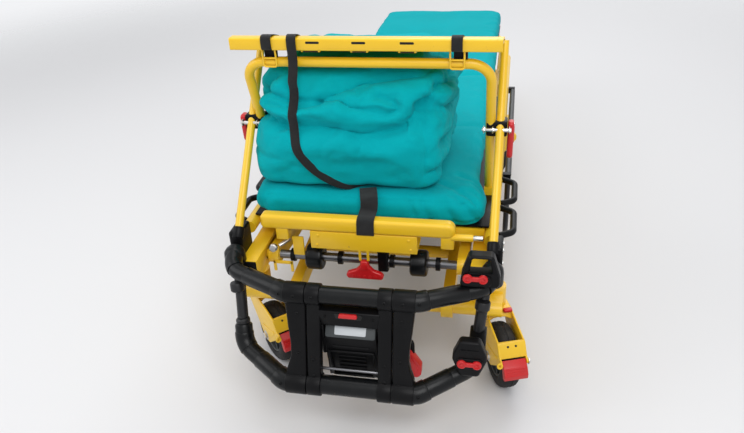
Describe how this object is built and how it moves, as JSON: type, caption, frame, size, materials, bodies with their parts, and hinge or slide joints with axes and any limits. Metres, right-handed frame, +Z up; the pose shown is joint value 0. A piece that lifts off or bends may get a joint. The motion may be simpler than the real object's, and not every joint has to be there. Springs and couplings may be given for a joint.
{
  "type": "ambulance stretcher",
  "caption": "Powered X-frame ambulance stretcher, lowered, with foot-end lift handles, equipment platform, mattress and folded bedding.",
  "frame": {"origin": "middle of the overall box on the floor, between the wheels", "axes": "+X to the right seen from the foot end, +Y from the foot end to the head end, +Z up"},
  "size_m": [0.7354, 2.065, 0.79],
  "materials": {
    "yellow_paint": "golden yellow powder coat, satin gloss",
    "black_rubber_grip": "smooth satin black grip sleeve",
    "black_paint": "satin black powder coat",
    "black_plastic": "fine-grained black moulding",
    "grey_plastic": "dark grey moulding",
    "red_plastic": "red moulding",
    "bright_steel": "turned steel",
    "teal_cloth": "teal coated cloth",
    "teal_bedding": "teal cotton cover",
    "tyre_rubber": "black solid tyre"
  },
  "bodies": {
    "litter": {"litter_channel_left": "yellow_paint", "litter_channel_right": "yellow_paint", "side_tube_left": "yellow_paint", "side_tube_right": "yellow_paint", "corner_sockets": "black_plastic", "litter_crossmembers": "yellow_paint", "pivot_shafts": "bright_steel", "upper_lift_handle": "black_rubber_grip", "lower_lift_handle": "black_rubber_grip", "handle_struts": "black_paint", "handle_uprights": "black_plastic", "battery_dock": "black_plastic", "battery": "grey_plastic", "control_pods": "black_plastic", "control_switches": "red_plastic", "foot_bar": "yellow_paint", "foot_plate": "yellow_paint", "release_handle": "red_plastic", "platform_posts": "yellow_paint", "platform_hoop": "yellow_paint", "platform_clamps": "black_plastic", "platform_levers": "red_plastic", "platform_tray": "yellow_paint", "seat_panel": "black_plastic", "mattress_seat": "teal_cloth", "bedding_bundle": "teal_bedding", "rail_bearings": "black_plastic", "hydraulic_unit": "black_plastic", "side_grips": "black_plastic", "foot_end_lever": "red_plastic"},
    "backrest": {"backrest_frame": "yellow_paint", "backrest_panel": "black_plastic", "mattress_back": "teal_cloth"},
    "rail_left": {"side_rail_left": "black_paint"},
    "rail_right": {"side_rail_right": "black_paint"},
    "head_section": {"head_section_tube": "yellow_paint", "load_wheel_brackets": "yellow_paint", "safety_bar": "red_plastic"},
    "load_wheel_left": {"load_wheel_left": "tyre_rubber"},
    "load_wheel_right": {"load_wheel_right": "tyre_rubber"},
    "inner_legs": {"inner_legs": "yellow_paint"},
    "outer_legs": {"outer_legs": "yellow_paint", "shaft_rollers": "black_rubber_grip"},
    "barrel": {"cylinder_barrel": "black_paint"},
    "rod": {"cylinder_rod": "bright_steel"},
    "foot_beam": {"foot_caster_beam": "yellow_paint"},
    "head_beam": {"head_caster_beam": "yellow_paint"},
    "caster_foot_left": {"caster_fork_foot_left": "yellow_paint", "brake_pedal_foot_left": "red_plastic"},
    "wheel_foot_left": {"caster_wheel_foot_left": "tyre_rubber"},
    "caster_foot_right": {"caster_fork_foot_right": "yellow_paint", "brake_pedal_foot_right": "red_plastic"},
    "wheel_foot_right": {"caster_wheel_foot_right": "tyre_rubber"},
    "caster_head_left": {"caster_fork_head_left": "yellow_paint", "brake_pedal_head_left": "red_plastic"},
    "wheel_head_left": {"caster_wheel_head_left": "tyre_rubber"},
    "caster_head_right": {"caster_fork_head_right": "yellow_paint", "brake_pedal_head_right": "red_plastic"},
    "wheel_head_right": {"caster_wheel_head_right": "tyre_rubber"}
  },
  "joints": [
    {"name": "lift", "type": "hinge", "parent": "litter", "child": "inner_legs", "pos_m": [0, 0.33461, 0.31], "axis": [1, 0, 0], "range_deg": [0, 39.71]},
    {"name": "cross_pivot", "type": "hinge", "parent": "inner_legs", "child": "outer_legs", "pos_m": [0, -0.2252, 0.255], "axis": [1, 0, 0], "range_deg": [-79.44, 0.01]},
    {"name": "foot_beam_level", "type": "hinge", "parent": "inner_legs", "child": "foot_beam", "pos_m": [0, -0.785, 0.2], "axis": [1, 0, 0], "range_deg": [-39.72, 0.01]},
    {"name": "head_beam_level", "type": "hinge", "parent": "outer_legs", "child": "head_beam", "pos_m": [0, 0.33461, 0.2], "axis": [1, 0, 0], "range_deg": [-0.01, 39.72]},
    {"name": "cylinder_swing", "type": "hinge", "parent": "litter", "child": "barrel", "pos_m": [0, -0.385, 0.296], "axis": [1, 0, 0], "range_deg": [-10.23, 0.01]},
    {"name": "cylinder_stroke", "type": "slide", "parent": "barrel", "child": "rod", "axis": [0, 0.9862, -0.1654], "range_m": [-0.00001, 0.14636]},
    {"name": "backrest_tilt", "type": "hinge", "parent": "litter", "child": "backrest", "pos_m": [0, 0.07, 0.376], "axis": [1, 0, 0], "range_deg": [0, 73]},
    {"name": "rail_left_fold", "type": "hinge", "parent": "litter", "child": "rail_left", "pos_m": [-0.3, -0.15, 0.372], "axis": [0, 1, 0], "range_deg": [0, 180]},
    {"name": "rail_right_fold", "type": "hinge", "parent": "litter", "child": "rail_right", "pos_m": [0.3, -0.15, 0.372], "axis": [0, -1, 0], "range_deg": [0, 180]},
    {"name": "head_section_slide", "type": "slide", "parent": "litter", "child": "head_section", "axis": [0, -1, 0], "range_m": [0, 0.43]},
    {"name": "load_wheel_left_spin", "type": "hinge", "parent": "head_section", "child": "load_wheel_left", "pos_m": [-0.14, 0.95, 0.072], "axis": [1, 0, 0], "continuous": true},
    {"name": "load_wheel_right_spin", "type": "hinge", "parent": "head_section", "child": "load_wheel_right", "pos_m": [0.14, 0.95, 0.072], "axis": [1, 0, 0], "continuous": true},
    {"name": "swivel_foot_left", "type": "hinge", "parent": "foot_beam", "child": "caster_foot_left", "pos_m": [-0.285, -0.728, 0.2], "axis": [0, 0, 1], "continuous": true},
    {"name": "spin_foot_left", "type": "hinge", "parent": "caster_foot_left", "child": "wheel_foot_left", "pos_m": [-0.23862, -0.77773, 0.076], "axis": [-0.7314, -0.682, 0], "continuous": true},
    {"name": "swivel_foot_right", "type": "hinge", "parent": "foot_beam", "child": "caster_foot_right", "pos_m": [0.285, -0.728, 0.2], "axis": [0, 0, 1], "continuous": true},
    {"name": "spin_foot_right", "type": "hinge", "parent": "caster_foot_right", "child": "wheel_foot_right", "pos_m": [0.30826, -0.7919, 0.076], "axis": [-0.9397, -0.342, 0], "continuous": true},
    {"name": "swivel_head_left", "type": "hinge", "parent": "head_beam", "child": "caster_head_left", "pos_m": [-0.285, 0.27761, 0.2], "axis": [0, 0, 1], "continuous": true},
    {"name": "spin_head_left", "type": "hinge", "parent": "caster_head_left", "child": "wheel_head_left", "pos_m": [-0.30826, 0.34151, 0.076], "axis": [0.9397, 0.342, 0], "continuous": true},
    {"name": "swivel_head_right", "type": "hinge", "parent": "head_beam", "child": "caster_head_right", "pos_m": [0.285, 0.27761, 0.2], "axis": [0, 0, 1], "continuous": true},
    {"name": "spin_head_right", "type": "hinge", "parent": "caster_head_right", "child": "wheel_head_right", "pos_m": [0.2211, 0.25435, 0.076], "axis": [-0.342, 0.9397, 0], "continuous": true}
  ],
  "couplings": [
    {"joint": "cross_pivot", "follows": "lift", "ratio": -2},
    {"joint": "foot_beam_level", "follows": "lift", "ratio": -1},
    {"joint": "head_beam_level", "follows": "lift", "ratio": 1},
    {"joint": "cylinder_swing", "follows": "lift", "ratio": -0.25728},
    {"joint": "cylinder_stroke", "follows": "lift", "m_per_rad": 0.21114}
  ]
}
